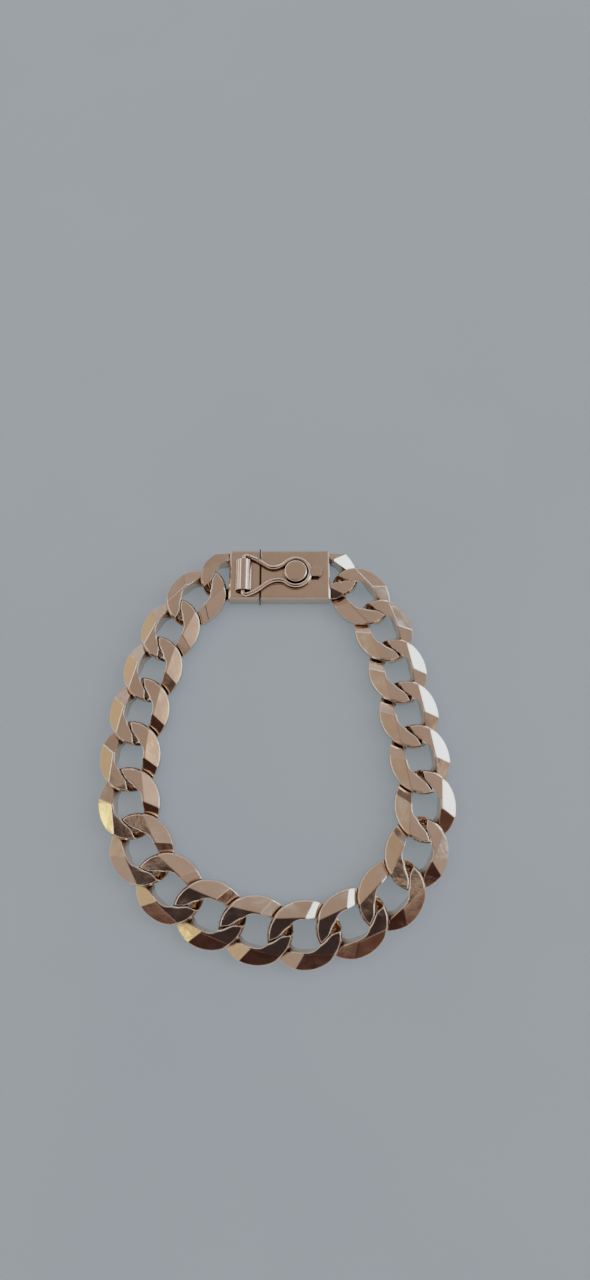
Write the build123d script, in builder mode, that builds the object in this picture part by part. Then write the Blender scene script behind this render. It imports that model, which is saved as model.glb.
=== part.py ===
from build123d import *
import math
import os

# Curb bracelet with a box clasp and a wire safety latch, lying flat as a closed loop.
# Millimetres. The clasp's underside is centred on the origin, its length runs along X,
# and the chain leaves both of its ends toward -Y. Everything rests on z = 0.

# Chain
link_count = 20
lay_pitch = 8.70
interlock_slack = 0.17
link_length = 13.4
link_width = 11.4
link_height = 3.3
flat_width = 6.0
edge_bevel_angle = 22.0
hole_length = 6.0
hole_width = 5.3
hole_corner = 2.55
link_clearance = 0.12
end_link_clearance = 0.13

# Box clasp
clasp_length = 20.6
clasp_width = 10.6
clasp_height = 3.5
clasp_edge = 0.35
tongue_block_length = 6.4
seam_gap = 0.2
box_wall = 0.7
box_end_wall = 1.0
spring_thickness = 0.55
spring_length = 9.5
spring_side_gap = 0.35
spring_rise = 1.1
solder_overlap = 0.05
shoulder_thickness = 0.4
shoulder_proud = 0.35

# Safety latch
wire_diameter = 0.9
hinge_x = -7.35
hinge_height = 0.62
barrel_radius = 1.6
barrel_length = 6.6
hinge_clearance = 0.06
latch_centre_y = -0.45
latch_width = 8.4
latch_corner = 0.6
waist_x = -1.1
waist_y = -0.2
waist_width = 2.8
knob_x = 3.3
knob_y = 0.2
knob_diameter = 4.6
knob_height = 1.5
knob_edge = 0.3
ring_clearance = 0.16
thumb_length = 2.3
thumb_width = 2.0
thumb_thickness = 0.9

# How the loop lies: where each end link's joint stands from its end of the clasp
right_end_tilt = -26.8
left_end_tilt = 24.2
right_pivot = (3.41, -1.19)
left_pivot = (-3.61, -1.28)
first_heading = -48.4
# Turn in degrees from each link to the next, clockwise seen from above.
joint_turns = [
    21.3, 8.1, 1.0, 1.0, 13.4, 21.3, 21.3, 21.3, 21.3, 13.7,
    9.1, 18.9, 21.3, 18.8, 13.9, 7.5, 3.8, 10.1, 18.7,
]

half_height = link_height / 2
half_pitch = (lay_pitch + interlock_slack) / 2
half_length = link_length / 2
half_width = link_width / 2
half_hole = hole_width / 2
clasp_end = clasp_length / 2
reach = half_width + 0.5

# How a link's bar twists where it passes its neighbour. One row for each station across the
# chain: its distance from the centre line as a share of half the hole, the angle of the
# parting surface, and its clearance as a multiple of the link clearance.
twist_rows = [
    {"share": 0.00, "angle": 90.0, "clearance": 1.2},
    {"share": 0.23, "angle": 52.0, "clearance": 4.8},
    {"share": 0.45, "angle": 35.0, "clearance": 5.3},
    {"share": 0.72, "angle": 11.5, "clearance": 7.4},
    {"share": 1.00, "angle": -26.0, "clearance": 2.7},
]
flat_part_angle = -26.0
flat_part_clearances = (2.7, 5.3)

# The rounded outer wall of a link: height as a share of half the link height, and inset in mm.
wall_rows = [
    {"height": -1.00, "inset": 0.48},
    {"height": -0.72, "inset": 0.16},
    {"height": -0.30, "inset": 0.03},
    {"height": 0.30, "inset": 0.03},
    {"height": 0.72, "inset": 0.16},
    {"height": 1.00, "inset": 0.48},
]


def parting_corners(side, angle, clearance, left, right, depth):
    """Corners of the region cleared for the neighbour at one station across the chain."""
    tilt = angle if side > 0 else 180 - angle
    ends = (-left, right) if side > 0 else (-right, left)
    c = math.cos(math.radians(tilt))
    s = math.sin(math.radians(tilt))
    corners = []
    for along, away in ((ends[0], 0), (ends[1], 0), (ends[1], depth), (ends[0], depth)):
        x = half_pitch + along * c - (away - clearance) * s
        z = along * s + (away - clearance) * c
        corners.append((x, z))
    return corners


def station_sketch(y, corners):
    """A four-cornered section in the vertical plane that lies y across the chain."""
    with BuildSketch(Plane(origin=(0, y, 0), x_dir=(1, 0, 0), z_dir=(0, -1, 0))) as section:
        Polygon(*corners, align=None)
    return section.sketch


def neighbour_clearance(clearance):
    """The region that a link leaves free for the next link, in the link's own frame."""
    left = 0.7 * 2 * half_pitch
    depth = 0.53 * 2 * half_pitch
    stations = [(-1, row) for row in reversed(twist_rows[1:])] + [(1, row) for row in twist_rows]
    twisted = []
    for side, row in stations:
        gap = row["clearance"] * clearance
        corners = parting_corners(side, row["angle"], gap, left, left, depth)
        twisted.append(station_sketch(side * row["share"] * half_hole, corners))
    with BuildPart() as region:
        loft(sections=twisted, ruled=True)
        for side in (-1, 1):
            flat = []
            for y, k in zip((half_hole, reach), flat_part_clearances):
                corners = parting_corners(
                    side, flat_part_angle, k * clearance, 1.4 * left, left, depth
                )
                flat.append(station_sketch(side * y, corners))
            loft(sections=flat, ruled=True)
    return region.part


def curb_link(clearance):
    """One link, centred on the origin, its length along X, flat on top and underneath."""
    drop = math.tan(math.radians(edge_bevel_angle)) * (reach - flat_width / 2)
    side_z = half_height - drop
    with BuildPart() as link:
        with BuildSketch(Plane.YZ) as chain_section:
            Polygon(
                (-reach, -side_z),
                (-flat_width / 2, -half_height),
                (flat_width / 2, -half_height),
                (reach, -side_z),
                (reach, side_z),
                (flat_width / 2, half_height),
                (-flat_width / 2, half_height),
                (-reach, side_z),
                align=None,
            )
        extrude(amount=half_length + 1, both=True)
        for row in wall_rows:
            with BuildSketch(Plane.XY.offset(row["height"] * half_height)) as wall:
                Ellipse(half_length - row["inset"], half_width - row["inset"])
        loft(ruled=True, mode=Mode.INTERSECT)
        with BuildSketch(Plane.XY) as hole:
            RectangleRounded(hole_length, hole_width, hole_corner)
        extrude(amount=link_height, both=True, mode=Mode.SUBTRACT)
        region = neighbour_clearance(clearance)
        add(region, mode=Mode.SUBTRACT)
        add(region, rotation=(0, 0, 180), mode=Mode.SUBTRACT)
    return link.part


def walk(headings, start):
    """Pivot points between the links, from the clasp's right end round to its left end."""
    points = [start]
    for heading in headings:
        x, y = points[-1]
        points.append(
            (
                x + lay_pitch * math.cos(math.radians(heading)),
                y + lay_pitch * math.sin(math.radians(heading)),
            )
        )
    return points


def bent(first, second):
    """Headings of the links with two gentle bends added, which close the loop."""
    headings = [first_heading]
    for turn in joint_turns:
        headings.append(headings[-1] - turn)
    last = len(headings) - 1
    return [
        h + first * math.sin(math.pi * i / last) + second * math.sin(2 * math.pi * i / last)
        for i, h in enumerate(headings)
    ]


def lay_loop():
    """Headings and pivots of the links, closed onto the clasp's left end."""
    start = (clasp_end + right_pivot[0], right_pivot[1])
    goal = (-clasp_end + left_pivot[0], left_pivot[1])
    a, b = 0.0, 0.0
    for _ in range(12):
        gaps = []
        for da, db in ((0, 0), (0.01, 0), (0, 0.01)):
            x, y = walk(bent(a + da, b + db), start)[-1]
            gaps.append((x - goal[0], y - goal[1]))
        (ex, ey), ga, gb = gaps
        j11, j21 = (ga[0] - ex) / 0.01, (ga[1] - ey) / 0.01
        j12, j22 = (gb[0] - ex) / 0.01, (gb[1] - ey) / 0.01
        det = j11 * j22 - j12 * j21
        a -= (ex * j22 - ey * j12) / det
        b -= (ey * j11 - ex * j21) / det
    headings = bent(a, b)
    return headings, walk(headings, start)


def end_link(pivot, tilt, side):
    """The part of a link that stands out of the clasp, soldered to its end, flush at its sides."""
    c, s = math.cos(math.radians(tilt)), math.sin(math.radians(tilt))
    x = side * clasp_end + pivot[0] - side * half_pitch * c
    y = pivot[1] - side * half_pitch * s
    whole = curb_link(end_link_clearance).rotate(Axis.Z, tilt)
    placed = whole.moved(Location((x, y, half_height)))
    flush_width = clasp_width - 2 * clasp_edge
    with BuildPart() as stub:
        add(placed)
        with Locations((side * (clasp_end - solder_overlap + link_length / 2), 0, half_height)):
            Box(link_length, flush_width, 2 * link_height, mode=Mode.INTERSECT)
    return stub.part


os.makedirs("parts", exist_ok=True)

# Links
plain_link = curb_link(link_clearance)
headings, pivots = lay_loop()
for number in range(link_count):
    name = f"link_{number + 1:02d}"
    x = (pivots[number][0] + pivots[number + 1][0]) / 2
    y = (pivots[number][1] + pivots[number + 1][1]) / 2
    placed = plain_link.rotate(Axis.Z, headings[number]).moved(Location((x, y, half_height)))
    placed.label = name
    export_step(placed, f"parts/{name}.step")

# Clasp box, open toward the tongue, with the knob and its end link
seam_x = -clasp_end + tongue_block_length
mouth_x = seam_x + seam_gap
box_length = clasp_end - mouth_x
right_end_link = end_link(right_pivot, right_end_tilt, 1)
with BuildPart() as clasp_box:
    with BuildSketch(Plane.YZ.offset(mouth_x)) as box_section:
        with Locations((0, clasp_height / 2)):
            Rectangle(clasp_width, clasp_height)
        chamfer(box_section.vertices(), clasp_edge)
    extrude(amount=box_length)
    chamfer(clasp_box.faces().sort_by(Axis.X)[-1].edges().sort_by(Axis.Z)[-1], clasp_edge)
    with BuildSketch(Plane.YZ.offset(mouth_x)) as cavity_section:
        with Locations((0, clasp_height / 2)):
            Rectangle(clasp_width - 2 * box_wall, clasp_height - 2 * box_wall)
    extrude(amount=box_length - box_end_wall, mode=Mode.SUBTRACT)
    with BuildSketch(Plane.XY.offset(clasp_height - solder_overlap)) as knob_section:
        with Locations((knob_x, knob_y)):
            Circle(knob_diameter / 2)
    extrude(amount=knob_height + solder_overlap)
    fillet(clasp_box.faces().sort_by(Axis.Z)[-1].edges(), knob_edge)
    add(right_end_link)
clasp_box.part.label = "clasp_box"
export_step(clasp_box.part, "parts/clasp_box.step")

# Tongue half: block, folded spring, hinge barrel and its end link
cavity_width = clasp_width - 2 * box_wall
spring_width = cavity_width - 2 * spring_side_gap
lower_z = box_wall + spring_side_gap
fold_x = mouth_x + spring_length
upper_z = lower_z + spring_rise
left_end_link = end_link(left_pivot, left_end_tilt, -1)
with BuildPart() as clasp_tongue:
    with BuildSketch(Plane.YZ.offset(-clasp_end)) as block_section:
        with Locations((0, clasp_height / 2)):
            Rectangle(clasp_width, clasp_height)
        chamfer(block_section.vertices(), clasp_edge)
    extrude(amount=tongue_block_length)
    chamfer(clasp_tongue.faces().sort_by(Axis.X)[0].edges().sort_by(Axis.Z)[-1], clasp_edge)
    with BuildSketch(Plane.YZ.offset(seam_x - shoulder_thickness)) as shoulder_section:
        with Locations((0, clasp_height / 2)):
            Rectangle(clasp_width + 2 * shoulder_proud, clasp_height - 2 * clasp_edge)
    extrude(amount=shoulder_thickness)
    with BuildSketch(Plane.XZ) as spring_section:
        with BuildLine() as spring_outline:
            Polyline(
                (seam_x - 1.0, lower_z),
                (fold_x, lower_z),
                (fold_x + spring_thickness / 2, lower_z + spring_thickness * 0.9),
                (fold_x, lower_z + spring_thickness * 1.8),
                (mouth_x + 0.3, upper_z + spring_thickness),
                (mouth_x + 0.3, upper_z),
                (fold_x - spring_thickness, lower_z + spring_thickness * 1.1),
                (fold_x - spring_thickness, lower_z + spring_thickness),
                (seam_x - 1.0, lower_z + spring_thickness),
                close=True,
            )
        make_face()
    extrude(amount=spring_width / 2, both=True)
    with BuildSketch(Plane.XZ.offset(-latch_centre_y)) as barrel_section:
        with Locations((hinge_x, clasp_height)):
            Circle(barrel_radius)
        with Locations((hinge_x, clasp_height - barrel_radius - solder_overlap)):
            Rectangle(2.2 * barrel_radius, 2 * barrel_radius, mode=Mode.SUBTRACT)
    extrude(amount=barrel_length / 2, both=True)
    with BuildSketch(Plane.XZ.offset(-latch_centre_y)) as bore_section:
        with Locations((hinge_x, clasp_height + hinge_height)):
            Circle(wire_diameter / 2 + hinge_clearance)
    extrude(amount=barrel_length / 2 + 1, both=True, mode=Mode.SUBTRACT)
    add(left_end_link)
clasp_tongue.part.label = "clasp_tongue"
export_step(clasp_tongue.part, "parts/clasp_tongue.step")

# Safety latch: one bent wire with a flat thumb tab
wire_z = clasp_height + hinge_height
ring_radius = knob_diameter / 2 + ring_clearance + wire_diameter / 2
half_latch = latch_width / 2
neck_angle = 132.0
arm_x = hinge_x + latch_corner
latch_plane = Plane.XY.offset(wire_z)
with BuildPart() as safety_latch:
    for mirror_y in (1, -1):
        with BuildLine(latch_plane) as half_wire:
            ring = CenterArc(
                (knob_x, knob_y), ring_radius, 0, mirror_y * neck_angle
            )
            arm = Spline(
                ring @ 1,
                (waist_x, waist_y + mirror_y * waist_width / 2),
                (arm_x, latch_centre_y + mirror_y * half_latch),
                tangents=(ring % 1, Vector(-1, 0.25 * mirror_y, 0)),
            )
            corner = ThreePointArc(
                arm @ 1,
                (
                    hinge_x + latch_corner * (1 - math.sin(math.radians(45))),
                    latch_centre_y
                    + mirror_y * (half_latch - latch_corner * (1 - math.cos(math.radians(45)))),
                ),
                (hinge_x, latch_centre_y + mirror_y * (half_latch - latch_corner)),
            )
            Line(corner @ 1, (hinge_x, latch_centre_y))
        start = Plane(origin=(ring @ 0), z_dir=(0, mirror_y, 0))
        with BuildSketch(start) as wire_section:
            Circle(wire_diameter / 2)
        sweep()
    with BuildSketch(latch_plane) as thumb_section:
        with Locations((knob_x + ring_radius + thumb_length / 2, knob_y)):
            RectangleRounded(thumb_length, thumb_width, thumb_width * 0.3)
    extrude(amount=thumb_thickness / 2, both=True)
safety_latch.part.label = "safety_latch"
export_step(safety_latch.part, "parts/safety_latch.step")
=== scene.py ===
import math

import bpy
from mathutils import Euler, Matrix

# Looks for the curb bracelet: polished rose gold on a pale blue-grey table.
# Metres, in the frame of the solids: the clasp's underside is centred on the origin.

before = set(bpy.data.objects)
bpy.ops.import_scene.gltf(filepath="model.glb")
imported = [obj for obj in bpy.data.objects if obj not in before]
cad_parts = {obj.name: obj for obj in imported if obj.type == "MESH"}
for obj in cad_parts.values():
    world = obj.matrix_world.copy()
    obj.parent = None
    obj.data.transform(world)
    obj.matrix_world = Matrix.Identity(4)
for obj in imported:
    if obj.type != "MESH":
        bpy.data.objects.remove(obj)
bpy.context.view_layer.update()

# Sizes and places
MM = 0.001
TABLE_SIZE = 3.0
TABLE_DROP = 0.02 * MM
CAMERA_PLACE = (3.15 * MM, -48.91 * MM, 121.2 * MM)
CAMERA_TILT = 16.5
FOCAL_PX = 620.0
IMAGE_WIDTH_PX = 590.0
SENSOR_MM = 36.0
NEAREST_SEEN = 5 * MM

# The metal: its deeper and lighter tone, and the painted shade of its recesses and of the clasp's
# seam.
GOLD_DEEP = (0.80, 0.61, 0.475)
GOLD_LIGHT = (0.85, 0.665, 0.53)
RECESS_SHADE = (0.13, 0.105, 0.090)
SEAM_SHADE = (0.075, 0.058, 0.050)

# The patterns of the polish, in cells a metre, with the depths of the two that are relief.
TONE_CELLS = 140.0
WEAR_CELLS = 420.0
WAVE_CELLS = 125.0
WAVE_DEPTH = 0.26 * MM
WAVE_STRENGTH = 0.7
SCUFF_CELLS = 1300.0
SCUFF_DEPTH = 0.03 * MM
SCUFF_STRENGTH = 0.35
RELIEF_DETAIL = 2.0
WEAR_HIGH = 0.75
SMOOTHEST = 0.06
ROUGHEST = 0.17

# Three finishes of it: how far the edges are rubbed round, how far from a wall painted shade reaches
# and how open a spot is where it ends. The clasp is crisper and more darkly shaded in its recesses
# than the links.
FINISHES = {
    "links": {"edge": 0.30 * MM, "shade_reach": 1.6 * MM, "shade_end": 0.68},
    "clasp": {"edge": 0.09 * MM, "shade_reach": 0.9 * MM, "shade_end": 0.86},
    "latch": {"edge": 0.09 * MM, "shade_reach": 0.9 * MM, "shade_end": 0.80},
}
FINISH_OF = {"clasp_box": "clasp", "clasp_tongue": "clasp", "safety_latch": "latch"}

# The painted shade is deepest where a spot is this share as open as where the shade ends.
SHADE_DEEPEST_AT = 0.25
SHADE_SAMPLES = 8
EDGE_SAMPLES = 6

# The painted shade of the seam between the clasp's two halves: its place, its reach to each side and
# the share of the reach that is all shade.
SEAM_PLACE = -3.93 * MM
SEAM_REACH = 0.28 * MM
SEAM_CORE = 0.4

# The table: its deeper and lighter tone, the cells a metre of its mottle, and a glow of painted fill
# light that lifts its shade.
TABLE_DEEP = (0.308, 0.279, 0.300)
TABLE_LIGHT = (0.332, 0.301, 0.326)
TABLE_CELLS = 25.0
TABLE_ROUGHNESS = 0.35
TABLE_GLOSS = 0.3
TABLE_PAINTED_FILL = (0.150, 0.200, 0.225)

# A noise pattern's values lie between these two nearly everywhere.
NOISE_LOW = 0.3
NOISE_HIGH = 0.7


def new_material(name):
    """A material with its nodes, its links and its shader."""
    material = bpy.data.materials.new(name)
    material.use_nodes = True
    nodes = material.node_tree.nodes
    links = material.node_tree.links
    shader = nodes["Principled BSDF"]
    return material, nodes, links, shader


def noise(nodes, links, vector, scale, detail):
    """A noise texture of the given scale, in cells a metre, on a vector output."""
    node = nodes.new("ShaderNodeTexNoise")
    node.inputs["Scale"].default_value = scale
    node.inputs["Detail"].default_value = detail
    links.new(vector, node.inputs["Vector"])
    return node.outputs["Fac"]


def spread(nodes, links, value, low, high, to_low, to_high):
    """A value stretched from one range to another."""
    node = nodes.new("ShaderNodeMapRange")
    node.inputs["From Min"].default_value = low
    node.inputs["From Max"].default_value = high
    node.inputs["To Min"].default_value = to_low
    node.inputs["To Max"].default_value = to_high
    links.new(value, node.inputs["Value"])
    return node.outputs["Result"]


def calc(nodes, links, operation, first, second):
    """A maths node on two values, each a number or an output."""
    node = nodes.new("ShaderNodeMath")
    node.operation = operation
    for socket, value in zip(node.inputs, (first, second)):
        if isinstance(value, (int, float)):
            socket.default_value = value
        else:
            links.new(value, socket)
    return node.outputs[0]


def blend(nodes, links, factor, first, second):
    """Two colours mixed by a factor, each a colour or an output."""
    node = nodes.new("ShaderNodeMix")
    node.data_type = "RGBA"
    links.new(factor, node.inputs["Factor"])
    for socket, value in ((node.inputs["A"], first), (node.inputs["B"], second)):
        if isinstance(value, tuple):
            socket.default_value = (*value, 1)
        else:
            links.new(value, socket)
    return node.outputs["Result"]


def relief(nodes, links, spot, cells, depth, strength, normal):
    """A faint noise relief laid over a normal."""
    node = nodes.new("ShaderNodeBump")
    node.inputs["Strength"].default_value = strength
    node.inputs["Distance"].default_value = depth
    links.new(noise(nodes, links, spot, cells, RELIEF_DETAIL), node.inputs["Height"])
    links.new(normal, node.inputs["Normal"])
    return node.outputs["Normal"]


def rose_gold(name, finish):
    """Polished rose gold: softened edges, waves and scuffs in its polish, painted shade in recesses.
    """
    material, nodes, links, shader = new_material("rose_gold_" + name)
    shader.inputs["Metallic"].default_value = 1.0
    spot = nodes.new("ShaderNodeTexCoord").outputs["Object"]

    tone = noise(nodes, links, spot, TONE_CELLS, 3.0)
    tone = spread(nodes, links, tone, NOISE_LOW, NOISE_HIGH, 0.0, 1.0)
    unshaded = blend(nodes, links, tone, GOLD_DEEP, GOLD_LIGHT)
    # Painted shade: the colour darkens towards a dark brown where ambient occlusion finds walls
    # close by.
    shelter = nodes.new("ShaderNodeAmbientOcclusion")
    shelter.samples = SHADE_SAMPLES
    shelter.inputs["Distance"].default_value = finish["shade_reach"]
    end = finish["shade_end"]
    open_to_air = spread(nodes, links, shelter.outputs["AO"], SHADE_DEEPEST_AT * end, end, 0.0, 1.0)
    colour = blend(nodes, links, open_to_air, RECESS_SHADE, unshaded)
    # Painted shade: a dark band along the seam between the clasp's two halves.
    if name == "clasp":
        split = nodes.new("ShaderNodeSeparateXYZ")
        links.new(spot, split.inputs["Vector"])
        aside = calc(nodes, links, "SUBTRACT", split.outputs["X"], SEAM_PLACE)
        aside = calc(nodes, links, "ABSOLUTE", aside, 0.0)
        in_seam = spread(nodes, links, aside, SEAM_CORE * SEAM_REACH, SEAM_REACH, 0.0, 1.0)
        colour = blend(nodes, links, in_seam, SEAM_SHADE, colour)
    links.new(colour, shader.inputs["Base Color"])

    wear = noise(nodes, links, spot, WEAR_CELLS, 5.0)
    rough = spread(nodes, links, wear, NOISE_LOW, WEAR_HIGH, SMOOTHEST, ROUGHEST)
    links.new(rough, shader.inputs["Roughness"])

    soft_edge = nodes.new("ShaderNodeBevel")
    soft_edge.samples = EDGE_SAMPLES
    soft_edge.inputs["Radius"].default_value = finish["edge"]
    normal = soft_edge.outputs["Normal"]
    normal = relief(nodes, links, spot, SCUFF_CELLS, SCUFF_DEPTH, SCUFF_STRENGTH, normal)
    normal = relief(nodes, links, spot, WAVE_CELLS, WAVE_DEPTH, WAVE_STRENGTH, normal)
    links.new(normal, shader.inputs["Normal"])
    return material


def table_top():
    """A pale, slightly glossy table with a very faint mottle and a faint cool glow that paints light
    into its shade.
    """
    material, nodes, links, shader = new_material("table_top")
    spot = nodes.new("ShaderNodeTexCoord").outputs["Object"]
    mottle = noise(nodes, links, spot, TABLE_CELLS, 2.0)
    mottle = spread(nodes, links, mottle, NOISE_LOW, NOISE_HIGH, 0.0, 1.0)
    tint = blend(nodes, links, mottle, TABLE_DEEP, TABLE_LIGHT)
    links.new(tint, shader.inputs["Base Color"])
    shader.inputs["Roughness"].default_value = TABLE_ROUGHNESS
    shader.inputs["Specular IOR Level"].default_value = TABLE_GLOSS
    # Painted light: the table glows faintly, lifting the shade in the chain's holes and around it.
    shader.inputs["Emission Color"].default_value = (*TABLE_PAINTED_FILL, 1)
    shader.inputs["Emission Strength"].default_value = 1.0
    return material


golds = {name: rose_gold(name, finish) for name, finish in FINISHES.items()}
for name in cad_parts:
    piece = bpy.data.objects[name]
    piece.data.materials.clear()
    piece.data.materials.append(golds[FINISH_OF.get(name, "links")])

# Table
table_mesh = bpy.data.meshes.new("table")
half = TABLE_SIZE / 2
table_mesh.from_pydata(
    [(-half, -half, 0), (half, -half, 0), (half, half, 0), (-half, half, 0)], [], [(0, 1, 2, 3)]
)
table = bpy.data.objects.new("table", table_mesh)
table.location.z = -TABLE_DROP
bpy.context.scene.collection.objects.link(table)
table.data.materials.append(table_top())

# Light
# The room above the table, as panels in a ceiling plane of unit height. Across and along are
# the low and high edges of each panel in X and Y, soft is half the width of its blurred edge,
# colour is the light that it gives and lean, where a panel has it, turns its far edge. The
# sides of the room are far panels of the same plane. A later panel lies over the earlier ones.
ROOM_TONE = (0.425, 0.366, 0.327)
HORIZON_TONE = (1.35, 1.36, 1.46)
HORIZON_HEIGHTS = (0.13, 0.34)
SKYLIGHT = (2.2, 2.6, 3.0)
NEARLY_BLACK = (0.046, 0.038, 0.042)
LOWEST_SLOPE = 0.02
DRIFT_CELLS = 2.2
DRIFT_RANGE = (0.9, 1.1)
PANELS = [
    {"name": "brown_wall", "across": (-9.0, 9.0), "along": (-1.62, -0.95),
     "soft": 0.18, "colour": (0.115, 0.065, 0.054)},
    {"name": "dark_wall", "across": (-0.85, 0.50), "along": (-1.66, -0.80),
     "soft": 0.16, "colour": (0.052, 0.027, 0.025)},
    {"name": "warm_wall", "across": (-9.0, -1.50), "along": (-0.48, 1.50),
     "soft": 0.18, "colour": (0.69, 0.57, 0.31)},
    {"name": "low_light", "across": (0.79, 0.96), "along": (-1.30, -0.84),
     "soft": 0.05, "colour": (0.66, 0.56, 0.48)},
    {"name": "warm_ceiling", "across": (-0.80, -0.43), "along": (-0.10, 0.64),
     "soft": 0.06, "colour": (0.46, 0.385, 0.29)},
    {"name": "ceiling_glow", "across": (0.46, 0.95), "along": (-0.10, 0.34),
     "soft": 0.10, "colour": (0.78, 0.64, 0.56)},
    {"name": "side_window", "across": (1.12, 9.0), "along": (-0.02, 0.92),
     "soft": 0.12, "colour": (2.7, 3.8, 4.7)},
    {"name": "window_foot", "across": (1.42, 9.0), "along": (-0.48, 0.10),
     "soft": 0.08, "colour": (2.7, 3.6, 4.3)},
    {"name": "right_skylight", "across": (0.80, 1.00), "along": (-0.25, 0.78),
     "soft": 0.05, "colour": SKYLIGHT},
    {"name": "left_skylight", "across": (-1.15, -0.84), "along": (-0.22, 1.15),
     "soft": 0.05, "colour": SKYLIGHT},
    {"name": "far_skylight", "across": (-0.75, 0.72), "along": (0.90, 1.10),
     "soft": 0.05, "colour": SKYLIGHT},
    {"name": "far_wall", "across": (-1.35, -0.45), "along": (1.38, 2.9),
     "soft": 0.12, "colour": (0.320, 0.270, 0.235)},
    {"name": "far_window", "across": (-0.62, -0.08), "along": (1.72, 2.9),
     "soft": 0.15, "colour": (0.66, 0.62, 0.62)},
    {"name": "left_ceiling", "across": (-0.42, 0.08), "along": (0.03, 0.72),
     "soft": 0.12, "colour": (0.375, 0.320, 0.282)},
    {"name": "warm_spot", "across": (0.620, 0.76), "along": (-0.03, 0.17),
     "soft": 0.03, "colour": (1.55, 1.22, 0.66)},
    {"name": "side_door", "across": (0.94, 1.13), "along": (-0.50, -0.28),
     "soft": 0.02, "colour": (0.115, 0.065, 0.054)},
    {"name": "doorway", "across": (-0.02, 0.78), "along": (1.12, 1.60),
     "soft": 0.12, "colour": (0.150, 0.118, 0.098)},
    {"name": "dark_ceiling", "across": (-0.25, 0.21), "along": (-0.80, -0.055), "lean": -0.1,
     "soft": 0.02, "colour": NEARLY_BLACK},
    {"name": "dark_corner", "across": (-0.42, -0.25), "along": (-0.62, 0.04),
     "soft": 0.02, "colour": NEARLY_BLACK},
    {"name": "lamp", "across": (-1.90, -1.68), "along": (-0.27, -0.11),
     "soft": 0.03, "colour": (5.0, 4.8, 0.15)},
]


def room(panels):
    """A soft sky of panels, mixed one over another by the direction that a ray takes."""
    world = bpy.data.worlds.new("room")
    bpy.context.scene.world = world
    world.use_nodes = True
    nodes = world.node_tree.nodes
    links = world.node_tree.links
    coords = nodes.new("ShaderNodeTexCoord")
    split = nodes.new("ShaderNodeSeparateXYZ")
    links.new(coords.outputs["Generated"], split.inputs["Vector"])

    def edge(value, low, high):
        """A smooth step from 0 at low to 1 at high."""
        node = nodes.new("ShaderNodeMapRange")
        node.interpolation_type = "SMOOTHSTEP"
        node.inputs["From Min"].default_value = low
        node.inputs["From Max"].default_value = high
        links.new(value, node.inputs["Value"])
        return node.outputs["Result"]

    height = calc(nodes, links, "MAXIMUM", split.outputs["Z"], LOWEST_SLOPE)
    across = calc(nodes, links, "DIVIDE", split.outputs["X"], height)
    along = calc(nodes, links, "DIVIDE", split.outputs["Y"], height)
    colour = ROOM_TONE
    for panel in panels:
        (x0, x1), (y0, y1), soft = panel["across"], panel["along"], panel["soft"]
        turn = calc(nodes, links, "MULTIPLY", across, panel.get("lean", 0.0))
        leaning = calc(nodes, links, "SUBTRACT", along, turn)
        mask = edge(across, x0 - soft, x0 + soft)
        mask = calc(nodes, links, "MULTIPLY", mask, edge(across, x1 + soft, x1 - soft))
        mask = calc(nodes, links, "MULTIPLY", mask, edge(along, y0 - soft, y0 + soft))
        mask = calc(nodes, links, "MULTIPLY", mask, edge(leaning, y1 + soft, y1 - soft))
        colour = blend(nodes, links, mask, colour, panel["colour"])
    colour = blend(nodes, links, edge(split.outputs["Z"], *HORIZON_HEIGHTS), HORIZON_TONE, colour)
    background = nodes["Background"]
    links.new(colour, background.inputs["Color"])
    drift = noise(nodes, links, coords.outputs["Generated"], DRIFT_CELLS, 1.0)
    drift = spread(nodes, links, drift, NOISE_LOW, NOISE_HIGH, *DRIFT_RANGE)
    links.new(drift, background.inputs["Strength"])


room(PANELS)

# Camera
camera_data = bpy.data.cameras.new("camera")
camera_data.sensor_fit = "HORIZONTAL"
camera_data.sensor_width = SENSOR_MM
camera_data.lens = SENSOR_MM * FOCAL_PX / IMAGE_WIDTH_PX
camera_data.clip_start = NEAREST_SEEN
camera = bpy.data.objects.new("camera", camera_data)
camera.location = CAMERA_PLACE
camera.rotation_euler = Euler((math.radians(CAMERA_TILT), 0, 0))
bpy.context.scene.collection.objects.link(camera)
bpy.context.scene.camera = camera
